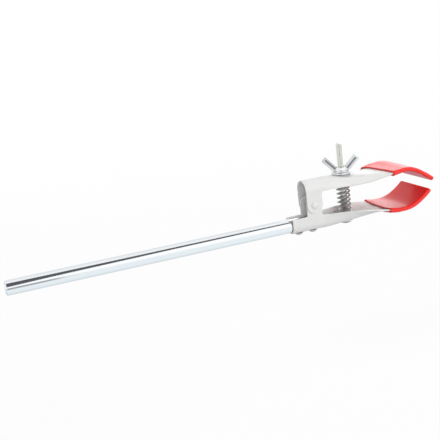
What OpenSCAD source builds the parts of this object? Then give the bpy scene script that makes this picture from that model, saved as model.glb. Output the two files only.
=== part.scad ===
// Two-jaw extension clamp for a laboratory stand: a plain support rod carries two
// pressed sheet arms on one pivot, drawn together by a wing nut against a spring.
// X runs from the rod to the jaws, Y across the jaws, Z up along the clamp screw.
// The origin is on the rod axis, at the rod's shoulder behind the lower arm's channel.

/* [Support rod] */
// diameter of the rod
rod_diameter = 10; // [8:0.5:12]
// length of the rod that stands free behind the arms
rod_free_length = 200; // [120:5:300]
// chamfer around the rod's free end
rod_chamfer = 1; // [0.4:0.1:1.6]
// depth of the shoulder where the rod is turned down for the channel
rod_relief = 0.2; // [0.1:0.05:0.5]
// gap between the turned-down rod and the channel
rod_fit = 0.02; // [0.01:0.01:0.05]
// gap between the rod's shoulder and the channel's rear edge
neck_gap = 0.4; // [0.2:0.1:1]

/* [Sheet arms] */
// thickness of the sheet that both arms are pressed from
sheet_thickness = 1.25; // [0.8:0.05:1.8]
// distance from the rod's shoulder to the front end of the channel
channel_length = 24; // [22:0.5:30]
// height of the channel's rim above the rod axis
rim_height = 5.2; // [2:0.1:7]
// distance of the pivot behind the front end of the channel
pivot_setback = 6; // [4.5:0.25:9]
// height of the pivot above the rod axis
pivot_z = 13; // [11:0.25:16]
// radius of the lower arm's ears around the pivot
ear_radius = 5.9; // [4.5:0.1:7]
// radius of the upper arm's ears around the pivot
lobe_radius = 6; // [4.5:0.1:7]
// gap between each lower ear and the upper arm's wall
ear_gap = 0.2; // [0.1:0.05:0.5]
// outside height of the upper arm above the rod axis
hood_height = 30.8; // [28:0.1:34]
// height of the upper arm's wall below its arch, ahead of the ears
hood_wall = 1.4; // [0.4:0.1:4]

/* [Arm forming] */
// length over which the lower arm bends up out of the channel
lower_bend_length = 8; // [4:0.5:14]
// slope of the lower arm under the spring
lower_slope = 7.5; // [3:0.5:11]
// length of the sloping part of the lower arm
lower_slope_length = 26; // [20:0.5:32]
// length over which the upper arm bends down behind the screw
upper_bend_length = 10; // [5:0.5:14]
// slope of the upper arm under the washer
upper_slope = 5; // [2:0.5:8]
// length of the sloping part of the upper arm
upper_slope_length = 25.5; // [18:0.5:32]
// length over which each arm levels out at the mouth of its sleeve
level_length = 14; // [8:0.5:20]
// angle left at the mouth of the sleeve once the arm has levelled out
mouth_slope = 1.5; // [0:0.25:4]
// distance ahead of the channel at which an arm is quite flat
flatten_length = 54; // [46:1:62]
// half width of the flat strip in the middle of a flattened arm
flat_strip = 10; // [6:0.5:14]

/* [Jaws] */
// half width of the jaw plates
jaw_half_width = 18; // [14:0.5:24]
// length of the nearly straight part of the lower jaw
lower_straight = 10.5; // [6:0.5:16]
// length of the nearly straight part of the upper jaw
upper_straight = 10; // [6:0.5:16]
// length of the lower jaw's tight curl
lower_curl_length = 13; // [9:0.5:18]
// angle of the lower jaw's tight curl
lower_curl = 31; // [20:1:42]
// length of the upper jaw's tight curl
upper_curl_length = 12; // [9:0.5:18]
// angle of the upper jaw's tight curl
upper_curl = 36; // [24:1:46]
// length of the slowly curving end of the lower jaw
lower_tip_length = 12; // [8:0.5:16]
// length of the slowly curving end of the upper jaw
upper_tip_length = 15; // [10:0.5:20]
// angle of the slowly curving end of a jaw
tip_curl = 12; // [4:1:20]
// tilt by which the upper jaw rises before its curl
upper_jaw_rise = 8; // [4:0.5:12]

/* [Jaw sleeves] */
// thickness of the soft sleeves
sleeve_thickness = 0.85; // [0.5:0.05:1.5]
// gap between a jaw plate and its sleeve
sleeve_gap = 0.03; // [0.02:0.01:0.15]
// extra gap at the open mouth of a sleeve
mouth_gap = 0.6; // [0.1:0.1:1.2]
// distance by which one corner of the upper sleeve's mouth is ahead of its middle
upper_mouth_skew = 2.6; // [0:0.2:4]

/* [Pivot and rivets] */
// diameter of the pivot rivet's shank
pivot_diameter = 4; // [3:0.25:5]
// gap between the pivot rivet and the upper arm's holes
pivot_clearance = 0.05; // [0.03:0.01:0.1]
// diameter of the pivot rivet's heads
pivot_head_diameter = 5.5; // [5.25:0.25:7]
// height of the pivot rivet's heads
pivot_head_height = 1.1; // [0.8:0.1:1.6]
// distance of the rear rod rivet from the rod's shoulder
rear_rivet_x = 6.5; // [4:0.25:9]
// distance of the front rod rivet behind the rod's inner end
front_rivet_setback = 5.5; // [4:0.25:8]
// diameter of the rod rivets' shanks
rivet_diameter = 3.5; // [2.5:0.25:4.5]
// depth of the rod rivets in the rod
rivet_depth = 7; // [4:0.5:8]
// diameter of the rod rivets' heads
rivet_head_diameter = 6.2; // [5:0.1:8]
// height of the rod rivets' heads
rivet_head_height = 1.9; // [1:0.1:2.5]

/* [Clamp screw] */
// diameter of the screw
screw_diameter = 5; // [4:0.5:6]
// distance of the screw ahead of the channel
screw_reach = 20.5; // [16:0.25:25]
// length of the screw above its head
screw_length = 56.8; // [48:0.2:66]
// chamfer around the screw's end
screw_chamfer = 0.6; // [0.3:0.1:0.9]
// diameter of the screw's round head
screw_head_diameter = 9.5; // [8:0.25:12]
// height of the screw's round head
screw_head_height = 2.1; // [1.4:0.1:3.4]
// border of the flat seat in the lower arm, around the spring and the screw's head
seat_border = 0.5; // [0.3:0.1:1.5]
// height by which the seat stands clear of the sloping sheet, above and below
seat_margin = 0.05; // [0.02:0.01:0.2]
// gap around the screw in the slot of the upper arm
slot_gap = 0.4; // [0.3:0.05:0.8]
// angle by which the upper jaw opens
open_angle = 12; // [4:0.5:16]
// angle by which the upper jaw shuts
shut_angle = 2.5; // [0.5:0.5:4]

/* [Spring] */
// outside diameter of the spring
spring_diameter = 10; // [8.5:0.25:12]
// diameter of the spring's wire
spring_wire = 1.25; // [0.8:0.05:1.6]
// number of turns in the spring
spring_turns = 9; // [5:0.5:13]
// gap between the spring and the underside of the upper arm
spring_gap = 0.3; // [0.2:0.05:0.8]

/* [Washer and wing nut] */
// outside diameter of the washer
washer_diameter = 14.5; // [12:0.1:17]
// thickness of the washer
washer_thickness = 1; // [0.6:0.1:2]
// gap between the washer's rear edge and the upper arm
washer_lift = 0.6; // [0.3:0.05:0.9]
// gap between the screw and the washer's hole
washer_clearance = 0.25; // [0.15:0.05:0.4]
// gap between the washer and the wing nut
nut_gap = 0.05; // [0.03:0.01:0.1]
// gap between the screw and the wing nut's bore
nut_clearance = 0.06; // [0.03:0.01:0.1]
// diameter of the wing nut's foot
nut_foot_diameter = 11.6; // [9.5:0.1:14]
// diameter of the wing nut's hub at its top
nut_hub_diameter = 8.6; // [7.5:0.1:10.5]
// height of the wing nut's foot
nut_foot_height = 1; // [0.5:0.1:2]
// height of the wing nut's hub
nut_hub_height = 3.8; // [2.6:0.1:6]
// width of each wing
wing_width = 4.8; // [3.5:0.1:6.5]
// thickness of each wing
wing_thickness = 2.6; // [1.5:0.1:4]
// distance of a wing's end from the screw axis
wing_reach = 10.6; // [8.5:0.1:14]
// height of a wing's end above the wing nut's foot
wing_rise = 9; // [6:0.1:12]
// radius of the corners at a wing's end
wing_corner = 1.2; // [0.4:0.1:1.7]
// distance of a wing's root from the screw axis
wing_root = 4; // [3:0.1:4.6]
// turn of the wings about the screw
wing_turn = -25; // [-90:5:90]

/* [Hidden] */
$fn = 64;

half_sheet = sheet_thickness / 2;
channel_inner = rod_diameter / 2 - rod_relief + rod_fit;
channel_outer = channel_inner + sheet_thickness;
hood_inner = channel_outer + ear_gap;
hood_outer = hood_inner + sheet_thickness;
hood_centre = hood_height - hood_outer;
arm_reach = 2 * hood_height;
slot_width = screw_diameter + 2 * slot_gap;
pivot_x = channel_length - pivot_setback;
screw_x = channel_length + screw_reach;

// a formed sheet starts a little way inside its straight rear part, just within the surface
seam_overlap = 1;
seam_step = 0.04;
rod_end = channel_length - seam_overlap - seam_step;
rivet_places = [rear_rivet_x, rod_end - front_rivet_setback];
formed_half = half_sheet - seam_step;
half_points = 12;
sleeve_half_points = 8;
cap_angles = [60, 0, -60];
mouth_rings = 4;
lower_bend_radius = channel_inner + half_sheet;
upper_bend_radius = hood_inner + half_sheet;
lower_spread = lower_bend_radius * PI / 2 + rim_height - seam_step;
upper_spread = upper_bend_radius * PI / 2 + hood_wall - seam_step;
lower_start = [channel_length - seam_overlap, -lower_bend_radius, 0];
upper_start = [channel_length - seam_overlap, hood_centre + upper_bend_radius, 0];

// paths of the sheets: length, turn and number of steps of each stretch
lower_rear_path = [
    [seam_overlap, 0, 1], [lower_bend_length, lower_slope, 3], [lower_slope_length, 0, 8],
    [level_length, mouth_slope - lower_slope, 5]
];
lower_jaw_path = [
    [lower_straight, -2 * mouth_slope, 4], [lower_curl_length, lower_curl, 6],
    [lower_tip_length, tip_curl, 4]
];
upper_rear_path = [
    [seam_overlap, 0, 1], [upper_bend_length, -upper_slope, 4], [upper_slope_length, 0, 7],
    [level_length, upper_slope + mouth_slope, 5]
];
upper_jaw_path = [
    [upper_straight, upper_jaw_rise - mouth_slope, 4], [upper_curl_length, -upper_curl, 6],
    [upper_tip_length, -tip_curl, 4]
];

// seats of the screw, the spring and the washer on the sheets, and ends of the screw's slot
lower_rear = walk(lower_start, lower_rear_path);
upper_rear = walk(upper_start, upper_rear_path);
seat_diameter = max(spring_diameter, screw_head_diameter) + 2 * seat_border;
seat_bottom = height_at(lower_rear, screw_x - screw_head_diameter / 2) - half_sheet - seat_margin;
seat_top = height_at(lower_rear, screw_x + spring_diameter / 2) + half_sheet + seat_margin;
spring_top = height_at(upper_rear, screw_x + spring_diameter / 2) - half_sheet - spring_gap;
washer_bottom = height_at(upper_rear, screw_x - washer_diameter / 2) + half_sheet + washer_lift;
slot_lever = screw_x - pivot_x;
slot_rise = height_at(upper_rear, screw_x) + half_sheet - pivot_z;
slot_ahead = (slot_lever + slot_rise * sin(open_angle)) / cos(open_angle) - slot_lever;
slot_behind = slot_lever - (slot_lever - slot_rise * sin(shut_angle)) / cos(shut_angle);

// place and heading after an arc of a path
function arc_end(place, length, turn) =
    turn == 0
        ? [place[0] + length * cos(place[2]), place[1] + length * sin(place[2]), place[2]]
        : let (radius = length * 180 / (turn * PI), heading = place[2] + turn)
          [place[0] + radius * (sin(heading) - sin(place[2])),
           place[1] - radius * (cos(heading) - cos(place[2])), heading];

// places along a path, its last one included
function walk(place, path, k = 0) =
    k == len(path)
        ? [place]
        : concat(
            [for (i = [0 : path[k][2] - 1])
                arc_end(place, path[k][0] * i / path[k][2], path[k][1] * i / path[k][2])],
            walk(arc_end(place, path[k][0], path[k][1]), path, k + 1));

function last(list) = list[len(list) - 1];
function height_at(places, x) = lookup(x, [for (p = places) [p[0], p[1]]]);
function clip(u) = min(max(u, 0), 1);
function smooth(u) = u * u * (3 - 2 * u);
function mix(a, b, u) = a + (b - a) * u;
function flatness(place) = clip((place[0] - channel_length) / flatten_length);

// point of a bent section: along is measured around the bend, out towards its hollow side
function bend_point(along, out, flat, radius, bend) =
    let (
        far = abs(along),
        arc = radius * bend * PI / 180,
        angle = far <= flat ? 0 : min(bend, (far - flat) / radius * 180 / PI),
        rest = max(0, far - flat - arc),
        across = min(far, flat) + radius * sin(angle) + rest * cos(angle),
        up = radius * (1 - cos(angle)) + rest * sin(angle)
    )
    [sign(along) * (across - out * sin(angle)), up + out * cos(angle)];

// closed section of a sheet, with square or rounded long edges
function section(spread, half, points, caps, flat, radius, bend) = concat(
    [for (i = [-points : points]) bend_point(spread * i / points, half, flat, radius, bend)],
    [for (a = caps) bend_point(spread + half * cos(a), half * sin(a), flat, radius, bend)],
    [for (i = [-points : points]) bend_point(-spread * i / points, -half, flat, radius, bend)],
    [for (a = caps) bend_point(-spread - half * cos(a), -half * sin(a), flat, radius, bend)]);

// section set across its path: side 1 is hollow upwards, side -1 downwards
function placed(place, side, flat_section) = [
    for (p = flat_section)
        [place[0] - side * p[1] * sin(place[2]), side * p[0], place[1] + side * p[1] * cos(place[2])]
];

// section of an arm at one place of its path, widened and thickened where it is for a sleeve
function arm_section(place, side, rear_spread, radius, extra, half, points, caps) =
    let (u = flatness(place), eased = (u + smooth(u)) / 2)
    placed(place, side, section(
        mix(rear_spread, jaw_half_width, eased) + extra, half, points, caps,
        flat_strip * u, radius, 90 * (1 - eased)));

// faces between the rings of a skin, count points in each of them
function skin_faces(first, rings, count) = [
    for (i = [0 : rings - 2], j = [0 : count - 1], t = [0, 1])
        let (a = first + i * count + j, b = first + i * count + (j + 1) % count)
        t == 0 ? [a, b, b + count] : [a, b + count, a + count]
];
function turned(faces) = [for (f = faces) [for (k = [len(f) - 1 : -1 : 0]) f[k]]];

// faces that close the end of a skin of sections, with caps points on each long edge
function end_faces(first, points, caps) =
    let (wide = 2 * points, low = 2 * wide + caps + 1, count = low + caps + 1)
    concat(
        [for (j = [0 : wide - 1], t = [0, 1])
            t == 0
                ? [first + j, first + j + 1, first + low - j - 1]
                : [first + j, first + low - j - 1, first + low - j]],
        caps == 0
            ? []
            : [[for (k = [wide : wide + caps + 1]) first + k],
               [for (k = [low : low + caps + 1]) first + k % count]]);

// solid skin over rings that all have the same number of points
module solid_skin(rings, first_faces, last_faces) {
    polyhedron(
        points = [for (ring = rings, p = ring) p],
        faces = concat(skin_faces(0, len(rings), len(rings[0])), last_faces, turned(first_faces)));
}

// bag open at its first ring: an outer and an inner skin, both closed at the last ring
module bag_skin(outer_rings, inner_rings, points, caps) {
    count = len(outer_rings[0]);
    inner_first = len(outer_rings) * count;
    polyhedron(
        points = concat([for (ring = outer_rings, p = ring) p], [for (ring = inner_rings, p = ring) p]),
        faces = concat(
            skin_faces(0, len(outer_rings), count),
            end_faces(inner_first - count, points, caps),
            turned(skin_faces(inner_first, len(inner_rings), count)),
            turned(end_faces(inner_first + (len(inner_rings) - 1) * count, points, caps)),
            [for (j = [0 : count - 1], t = [0, 1])
                let (next = (j + 1) % count)
                t == 0 ? [next, j, inner_first + j] : [next, inner_first + j, inner_first + next]]));
}

module along_x(from, to) {
    translate([from, 0, 0]) rotate([90, 0, 90]) linear_extrude(to - from) children();
}

module across_y(width) {
    rotate([90, 0, 0]) linear_extrude(width, center = true) children();
}

// round-bottomed channel in Y and Z, its walls running up to a height
module channel_profile(inner, outer, height) {
    difference() {
        union() {
            circle(outer);
            translate([-outer, 0]) square([2 * outer, height]);
        }
        circle(inner);
        translate([-inner, 0]) square([2 * inner, arm_reach]);
    }
}

// low round head standing on its flat side
module round_head(diameter, height) {
    ball = (diameter * diameter / 4 + height * height) / (2 * height);
    rotate_extrude() intersection() {
        translate([0, height - ball]) circle(ball);
        square([diameter / 2, height]);
    }
}

module formed_arm(rear, jaw_path, side, rear_spread, radius) {
    jaw = walk(last(rear), jaw_path);
    places = concat([for (i = [0 : len(rear) - 2]) rear[i]], jaw);
    rings = [for (p = places) arm_section(p, side, rear_spread, radius, 0, formed_half, half_points, [])];
    solid_skin(rings, end_faces(0, half_points, 0), end_faces((len(rings) - 1) * len(rings[0]), half_points, 0));
}

// sections of a sleeve's skin along its jaw, opened out and set askew towards the mouth
function sleeve_rings(places, side, rear_spread, radius, half, skew) = [
    for (i = [0 : len(places) - 1])
        let (
            open = i < mouth_rings ? 1 - i / mouth_rings : 0,
            sleeve_half = half + mouth_gap * open,
            plain = arm_section(
                places[i], side, rear_spread, radius, sleeve_gap, sleeve_half, sleeve_half_points, cap_angles)
        )
        skew * open == 0
            ? plain
            : [for (k = [0 : len(plain) - 1])
                arm_section(
                    arc_end(places[i], -skew * open * plain[k][1] / jaw_half_width, 0), side, rear_spread, radius,
                    sleeve_gap, sleeve_half, sleeve_half_points, cap_angles)[k]]
];

module formed_sleeve(mouth, jaw_path, side, rear_spread, radius, skew) {
    jaw = walk(mouth, jaw_path);
    outer_places = concat(jaw, [arc_end(last(jaw), sleeve_thickness + sleeve_gap, 0)]);
    inner_places = concat(jaw, [arc_end(last(jaw), sleeve_gap, 0)]);
    inner_half = half_sheet + sleeve_gap;
    bag_skin(
        sleeve_rings(outer_places, side, rear_spread, radius, inner_half + sleeve_thickness, skew),
        sleeve_rings(inner_places, side, rear_spread, radius, inner_half, skew),
        sleeve_half_points, len(cap_angles));
}

module support_rod() {
    color([0.82, 0.84, 0.87]) difference() {
        rotate([0, 90, 0]) rotate_extrude() polygon([
            [0, -rod_free_length],
            [rod_diameter / 2 - rod_chamfer, -rod_free_length],
            [rod_diameter / 2, -rod_free_length + rod_chamfer],
            [rod_diameter / 2, 0],
            [rod_diameter / 2 - rod_relief, 0],
            [rod_diameter / 2 - rod_relief, rod_end],
            [0, rod_end]
        ]);
        for (x = rivet_places)
            translate([x, 0, -rod_diameter]) cylinder(d = rivet_diameter, h = rod_diameter / 2 + rivet_depth);
    }
}

module lower_jaw() {
    color([0.88, 0.88, 0.86]) difference() {
        union() {
            intersection() {
                along_x(neck_gap, channel_length) channel_profile(channel_inner, channel_outer, arm_reach);
                across_y(2 * hood_outer) {
                    translate([0, -channel_outer]) square([channel_length, channel_outer + rim_height]);
                    translate([pivot_x - ear_radius, 0]) square([2 * ear_radius, pivot_z]);
                    translate([pivot_x, pivot_z]) circle(ear_radius);
                }
            }
            formed_arm(lower_rear, lower_jaw_path, 1, lower_spread, lower_bend_radius);
            translate([screw_x, 0, seat_bottom]) cylinder(d = seat_diameter, h = seat_top - seat_bottom);
        }
        translate([pivot_x, 0, pivot_z]) rotate([90, 0, 0]) cylinder(d = pivot_diameter, h = arm_reach, center = true);
        for (x = rivet_places)
            translate([x, 0, -2 * channel_outer]) cylinder(d = rivet_diameter, h = 2 * channel_outer);
        translate([screw_x, 0, 2 * seat_bottom]) cylinder(d = screw_diameter, h = -2 * seat_bottom);
    }
}

module upper_jaw() {
    color([0.88, 0.88, 0.86]) difference() {
        union() {
            intersection() {
                translate([0, 0, hood_centre]) mirror([0, 0, 1])
                    along_x(0, channel_length) channel_profile(hood_inner, hood_outer, arm_reach);
                across_y(3 * hood_outer) {
                    translate([pivot_x - lobe_radius, pivot_z])
                        square([channel_length - pivot_x + lobe_radius, hood_height - pivot_z]);
                    translate([pivot_x, pivot_z]) circle(lobe_radius);
                }
            }
            formed_arm(upper_rear, upper_jaw_path, -1, upper_spread, upper_bend_radius);
        }
        translate([pivot_x, 0, pivot_z]) rotate([90, 0, 0])
            cylinder(d = pivot_diameter + 2 * pivot_clearance, h = arm_reach, center = true);
        translate([screw_x, 0, hood_centre]) {
            translate([slot_ahead, 0, 0]) cylinder(d = slot_width, h = hood_outer + hood_wall);
            translate([-slot_behind, 0, 0]) cylinder(d = slot_width, h = hood_outer + hood_wall);
            translate([-slot_behind, -slot_width / 2, 0])
                cube([slot_ahead + slot_behind, slot_width, hood_outer + hood_wall]);
        }
    }
}

module lower_jaw_sleeve() {
    color([0.85, 0.12, 0.1])
        formed_sleeve(last(lower_rear), lower_jaw_path, 1, lower_spread, lower_bend_radius, 0);
}

module upper_jaw_sleeve() {
    color([0.85, 0.12, 0.1])
        formed_sleeve(last(upper_rear), upper_jaw_path, -1, upper_spread, upper_bend_radius, upper_mouth_skew);
}

module pivot_rivet() {
    reach = hood_outer + ear_gap / 2;
    color([0.8, 0.8, 0.78]) translate([pivot_x, 0, pivot_z]) {
        rotate([90, 0, 0]) cylinder(d = pivot_diameter, h = 2 * reach, center = true);
        for (turn = [-90, 90])
            rotate([turn, 0, 0]) translate([0, 0, reach]) round_head(pivot_head_diameter, pivot_head_height);
    }
}

module rod_rivets() {
    color([0.6, 0.6, 0.6]) for (x = rivet_places) translate([x, 0, -channel_outer]) {
        cylinder(d = rivet_diameter, h = channel_outer - rod_diameter / 2 + rivet_depth);
        mirror([0, 0, 1]) round_head(rivet_head_diameter, rivet_head_height);
    }
}

module clamp_screw() {
    color([0.78, 0.78, 0.72]) translate([screw_x, 0, seat_bottom]) {
        rotate_extrude() polygon([
            [0, 0],
            [screw_diameter / 2, 0],
            [screw_diameter / 2, screw_length - screw_chamfer],
            [screw_diameter / 2 - screw_chamfer, screw_length],
            [0, screw_length]
        ]);
        mirror([0, 0, 1]) round_head(screw_head_diameter, screw_head_height);
    }
}

module spring() {
    steps = 18;
    sides = 6;
    ring_radius = (spring_diameter - spring_wire) / 2;
    climb = spring_top - seat_top - spring_wire;
    total = ceil(spring_turns * steps);
    rings = [
        for (i = [0 : total])
            let (angle = 360 * i / steps)
            [for (k = [0 : sides - 1])
                let (side = 360 * k / sides, radius = ring_radius + spring_wire / 2 * cos(side))
                [radius * cos(angle), radius * sin(angle), climb * i / total - spring_wire / 2 * sin(side)]]
    ];
    wire_end = [for (k = [0 : sides - 1]) k];
    color([0.35, 0.35, 0.36]) translate([screw_x, 0, seat_top + spring_wire / 2])
        solid_skin(rings, [wire_end], [[for (k = wire_end) total * sides + k]]);
}

module washer() {
    color([0.8, 0.8, 0.8]) translate([screw_x, 0, washer_bottom]) difference() {
        cylinder(d = washer_diameter, h = washer_thickness);
        translate([0, 0, -washer_thickness])
            cylinder(d = screw_diameter + 2 * washer_clearance, h = 3 * washer_thickness);
    }
}

module wing_nut() {
    lean = atan2(wing_rise - nut_foot_height, wing_reach - wing_root);
    wing_length = norm([wing_reach - wing_root, wing_rise - nut_foot_height]) + wing_width / 2;
    bore = screw_diameter + 2 * nut_clearance;
    color([0.85, 0.85, 0.86])
        translate([screw_x, 0, washer_bottom + washer_thickness + nut_gap]) rotate([0, 0, wing_turn]) difference() {
            union() {
                cylinder(d = nut_foot_diameter, h = nut_foot_height);
                cylinder(d1 = nut_foot_diameter - nut_foot_height, d2 = nut_hub_diameter, h = nut_hub_height);
                for (turn = [0, 180])
                    rotate([0, 0, turn]) across_y(wing_thickness) intersection() {
                        translate([wing_root, nut_foot_height]) rotate(lean) {
                            translate([0, -wing_width / 2]) square([wing_length - wing_corner, wing_width]);
                            translate([0, wing_corner - wing_width / 2])
                                square([wing_length, wing_width - 2 * wing_corner]);
                            for (side = [-1, 1])
                                translate([wing_length - wing_corner, side * (wing_width / 2 - wing_corner)])
                                    circle(wing_corner);
                        }
                        square(2 * (wing_reach + wing_width));
                    }
            }
            translate([0, 0, -nut_hub_height]) cylinder(d = bore, h = 3 * nut_hub_height);
        }
}

support_rod();
lower_jaw();
upper_jaw();
lower_jaw_sleeve();
upper_jaw_sleeve();
pivot_rivet();
rod_rivets();
clamp_screw();
spring();
washer();
wing_nut();
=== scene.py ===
import math

import bmesh
import bpy
import numpy as np
from mathutils import Matrix, Vector, kdtree, noise
from mathutils.geometry import delaunay_2d_cdt


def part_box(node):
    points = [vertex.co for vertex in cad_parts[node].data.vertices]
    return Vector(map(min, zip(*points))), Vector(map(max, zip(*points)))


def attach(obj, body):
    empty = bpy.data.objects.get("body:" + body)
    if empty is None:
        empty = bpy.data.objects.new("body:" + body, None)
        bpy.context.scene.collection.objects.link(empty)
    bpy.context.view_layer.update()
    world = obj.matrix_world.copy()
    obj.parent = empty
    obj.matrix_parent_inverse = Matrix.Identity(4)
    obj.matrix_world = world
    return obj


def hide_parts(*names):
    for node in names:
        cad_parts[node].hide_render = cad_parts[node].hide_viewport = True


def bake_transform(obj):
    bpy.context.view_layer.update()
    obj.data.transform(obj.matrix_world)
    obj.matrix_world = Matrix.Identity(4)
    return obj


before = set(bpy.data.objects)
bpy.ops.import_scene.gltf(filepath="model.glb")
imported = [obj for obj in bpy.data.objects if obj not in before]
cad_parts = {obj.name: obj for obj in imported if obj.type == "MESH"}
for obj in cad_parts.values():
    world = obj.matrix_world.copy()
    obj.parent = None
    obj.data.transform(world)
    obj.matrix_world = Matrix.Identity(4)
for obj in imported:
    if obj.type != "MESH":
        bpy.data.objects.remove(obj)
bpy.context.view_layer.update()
mm = 0.001
tiny = 1e-6
white = (1, 1, 1, 1)

# what several pieces share: place and head of the screw in millimetres, turn of the wings in degrees
shared = {"screwX": 44.5, "screwHead": 2.1, "wingTurn": -25}


# shader maths as plain expressions on sockets
class Value:
    def __init__(self, nodes, socket):
        self.nodes, self.socket = nodes, socket

    def math(self, operation, first, second):
        return self.nodes.node("ShaderNodeMath", {"operation": operation}, {0: first, 1: second})

    def __add__(self, other):
        return self.math("ADD", self, other)

    def __radd__(self, other):
        return self.math("ADD", other, self)

    def __sub__(self, other):
        return self.math("SUBTRACT", self, other)

    def __rsub__(self, other):
        return self.math("SUBTRACT", other, self)

    def __mul__(self, other):
        return self.math("MULTIPLY", self, other)

    def __rmul__(self, other):
        return self.math("MULTIPLY", other, self)

    def __abs__(self):
        return self.math("ABSOLUTE", self, 0)


# nodes of one material, or of the world
class Nodes:
    def __init__(self, tree):
        self.tree = tree

    def feed(self, node, sockets):
        for key, value in sockets.items():
            if isinstance(value, Value):
                self.tree.links.new(value.socket, node.inputs[key])
            else:
                node.inputs[key].default_value = value

    def node(self, kind, settings, sockets, output=0):
        made = self.tree.nodes.new(kind)
        for key, value in settings.items():
            setattr(made, key, value)
        self.feed(made, sockets)
        return Value(self, made.outputs[output])

    def where(self, kind="Object"):
        return self.node("ShaderNodeTexCoord", {}, {}, kind)

    def part(self, vector, axis):
        return self.node("ShaderNodeSeparateXYZ", {}, {"Vector": vector}, axis)

    def grain(self, scale, detail, stretch=(1, 1, 1), rough=0.55):
        place = self.node("ShaderNodeMapping", {}, {"Vector": self.where(), "Scale": stretch})
        return self.node("ShaderNodeTexNoise", {}, {
            "Vector": place, "Scale": scale, "Detail": detail, "Roughness": rough})

    def band(self, value, low, high):
        return self.node("ShaderNodeMapRange", {"interpolation_type": "SMOOTHSTEP"}, {
            "Value": value, "From Min": low, "From Max": high})

    def mixed(self, share, first, second):
        return self.node("ShaderNodeMix", {"data_type": "RGBA"}, {0: share, 6: first, 7: second}, 2)

    def bumped(self, height, depth, strength):
        return self.node("ShaderNodeBump", {}, {"Height": height, "Distance": depth, "Strength": strength})

    # 1 for rays of the camera, of mirrors and of glass, and 1 for those of mirrors alone
    def rays(self):
        kinds = ("Is Camera Ray", "Is Glossy Ray", "Is Transmission Ray")
        camera, mirror, glass = (self.node("ShaderNodeLightPath", {}, {}, kind) for kind in kinds)
        return self.node("ShaderNodeClamp", {}, {"Value": camera + mirror + glass}), mirror


# one material, with the fixed values on its shader
class Finish(Nodes):
    def __init__(self, name, fixed):
        self.material = bpy.data.materials.new(name)
        self.material.use_nodes = True
        super().__init__(self.material.node_tree)
        self.shader = self.tree.nodes["Principled BSDF"]
        self.feed(self.shader, fixed)


# satin enamel of the arms and the pivot rivet; each grain is given as scale and detail
enamelLook = {
    "fixed": {"IOR": 1.5, "Coat Roughness": 0.2, "Specular IOR Level": 0.35},
    "light": (0.80, 0.80, 0.79, 1), "shade": (0.745, 0.745, 0.735, 1), "bare": (0.50, 0.49, 0.48, 1),
    "cloud": (38, 5), "fleck": (900, 3), "dust": (260, 6), "dustFrom": 0.66, "dustTo": 0.74, "dustTone": 0.25,
    "rough": 0.30, "cloudRough": 0.12, "dustRough": 0.1, "coat": 0.12, "dustCoat": 0.1,
    "fleckBump": 0.6, "cloudBump": 0.8, "bumpDepth": 0.00006, "bumpStrength": 0.5}


def enamelFinish():
    e = enamelLook
    f = Finish("arm enamel", e["fixed"])
    cloud, fleck = f.grain(*e["cloud"]), f.grain(*e["fleck"])
    dust = f.band(f.grain(*e["dust"]), e["dustFrom"], e["dustTo"])
    colour = f.mixed(cloud, e["light"], e["shade"])
    relief = fleck * e["fleckBump"] + cloud * e["cloudBump"]
    f.feed(f.shader, {
        "Base Color": f.mixed(dust * e["dustTone"], colour, e["bare"]),
        "Roughness": e["rough"] + cloud * e["cloudRough"] + dust * e["dustRough"],
        "Coat Weight": e["coat"] - dust * e["dustCoat"],
        "Normal": f.bumped(relief, e["bumpDepth"], e["bumpStrength"])})
    return f.material


# smooth red vinyl of the sleeves, with a dimpled skin and a few scuffs
vinylLook = {
    "fixed": {"IOR": 1.5, "Subsurface Weight": 0.12, "Subsurface Radius": (0.004, 0.0008, 0.0006),
              "Subsurface Scale": 0.4, "Specular IOR Level": 0.32, "Coat Roughness": 0.3},
    "bright": (0.95, 0.040, 0.033, 1), "deep": (0.88, 0.024, 0.020, 1),
    "cloud": (45, 4), "dimple": (700, 3), "scuff": (140, 6, (1, 1, 3)), "scuffFrom": 0.60, "scuffTo": 0.78,
    "rough": 0.27, "cloudRough": 0.1, "scuffRough": 0.14, "coat": 0.2, "scuffCoat": 0.12,
    "dimpleBump": 0.5, "bumpDepth": 0.00012, "bumpStrength": 0.45}


def vinylFinish():
    v = vinylLook
    f = Finish("red vinyl", v["fixed"])
    cloud, dimple = f.grain(*v["cloud"]), f.grain(*v["dimple"])
    scuff = f.band(f.grain(*v["scuff"]), v["scuffFrom"], v["scuffTo"])
    relief = dimple * v["dimpleBump"] + cloud
    f.feed(f.shader, {
        "Base Color": f.mixed(cloud, v["bright"], v["deep"]),
        "Roughness": v["rough"] + cloud * v["cloudRough"] + scuff * v["scuffRough"],
        "Coat Weight": v["coat"] - scuff * v["scuffCoat"],
        "Normal": f.bumped(relief, v["bumpDepth"], v["bumpStrength"])})
    return f.material


# grain of every metal: clouds and fine streaks
metalGrain = {"streak": (420, 3), "cloud": (60, 4), "streakTone": 0.3, "cloudTone": 0.7,
              "streakRough": 0.08, "cloudRough": 0.05, "bumpStrength": 0.35}
rodLook = {"light": (0.90, 0.91, 0.93, 1), "shade": (0.85, 0.87, 0.90, 1), "rough": 0.05,
           "stretch": (0.03, 1, 1), "scratch": 0.000002}
springLook = {"light": (0.50, 0.50, 0.51, 1), "shade": (0.34, 0.34, 0.35, 1), "rough": 0.26,
              "stretch": (1, 1, 1), "scratch": 0.000006}
rivetLook = {"light": (0.68, 0.68, 0.68, 1), "shade": (0.56, 0.56, 0.56, 1), "rough": 0.25,
             "stretch": (1, 1, 1), "scratch": 0.00003}

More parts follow.
